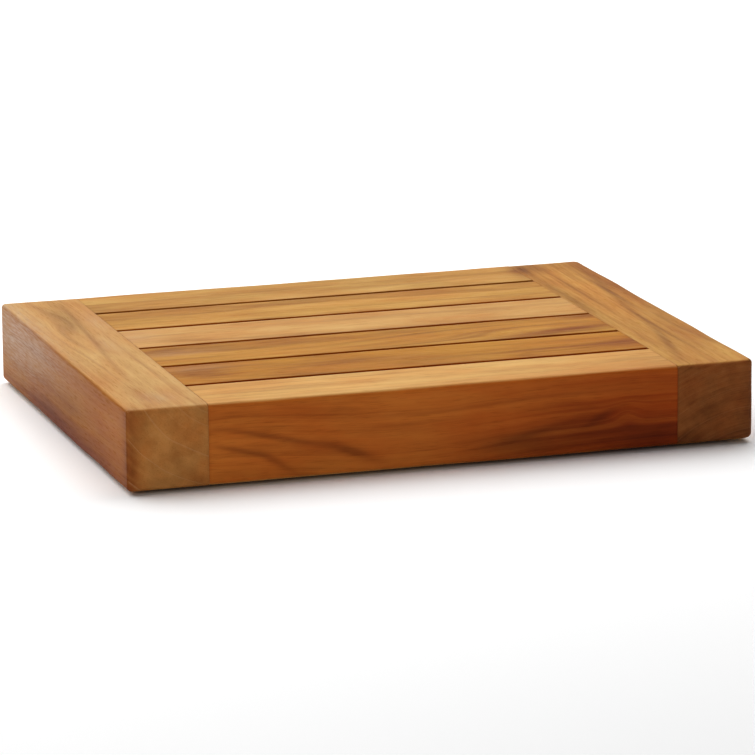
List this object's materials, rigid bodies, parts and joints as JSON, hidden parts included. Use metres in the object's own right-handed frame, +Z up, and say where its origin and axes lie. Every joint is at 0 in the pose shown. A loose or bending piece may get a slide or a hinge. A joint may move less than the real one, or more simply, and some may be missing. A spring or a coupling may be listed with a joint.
{
  "type": "slatted bath mat",
  "caption": "Thick rectangular teak bath mat: flush slats in a heavy doweled frame with straight drain gaps, battens underneath and round rubber feet.",
  "frame": {"origin": "middle of the footprint, on the floor under the rubber feet", "axes": "+X along the slats to the right, +Y towards the back, +Z up"},
  "size_m": [0.508, 0.403, 0.067],
  "materials": {
    "oiled_teak": "planed, eased and oiled, satin",
    "beech_dowel": "fluted, bare",
    "stainless_steel": "plain, as made",
    "black_rubber": "moulded, matte"
  },
  "bodies": {
    "root": {"end_rail_left": "oiled_teak", "end_rail_right": "oiled_teak", "front_rail": "oiled_teak", "back_rail": "oiled_teak", "slat_1": "oiled_teak", "slat_2": "oiled_teak", "slat_3": "oiled_teak", "slat_4": "oiled_teak", "batten_left": "oiled_teak", "batten_right": "oiled_teak", "batten_screws_left": "stainless_steel", "batten_screws_right": "stainless_steel", "dowel_front_left_upper": "beech_dowel", "dowel_front_left_lower": "beech_dowel", "foot_front_left": "black_rubber", "washer_front_left": "stainless_steel", "foot_screw_front_left": "stainless_steel", "dowel_back_left_upper": "beech_dowel", "dowel_back_left_lower": "beech_dowel", "foot_back_left": "black_rubber", "washer_back_left": "stainless_steel", "foot_screw_back_left": "stainless_steel", "dowel_front_right_upper": "beech_dowel", "dowel_front_right_lower": "beech_dowel", "foot_front_right": "black_rubber", "washer_front_right": "stainless_steel", "foot_screw_front_right": "stainless_steel", "dowel_back_right_upper": "beech_dowel", "dowel_back_right_lower": "beech_dowel", "foot_back_right": "black_rubber", "washer_back_right": "stainless_steel", "foot_screw_back_right": "stainless_steel"}
  },
  "joints": []
}
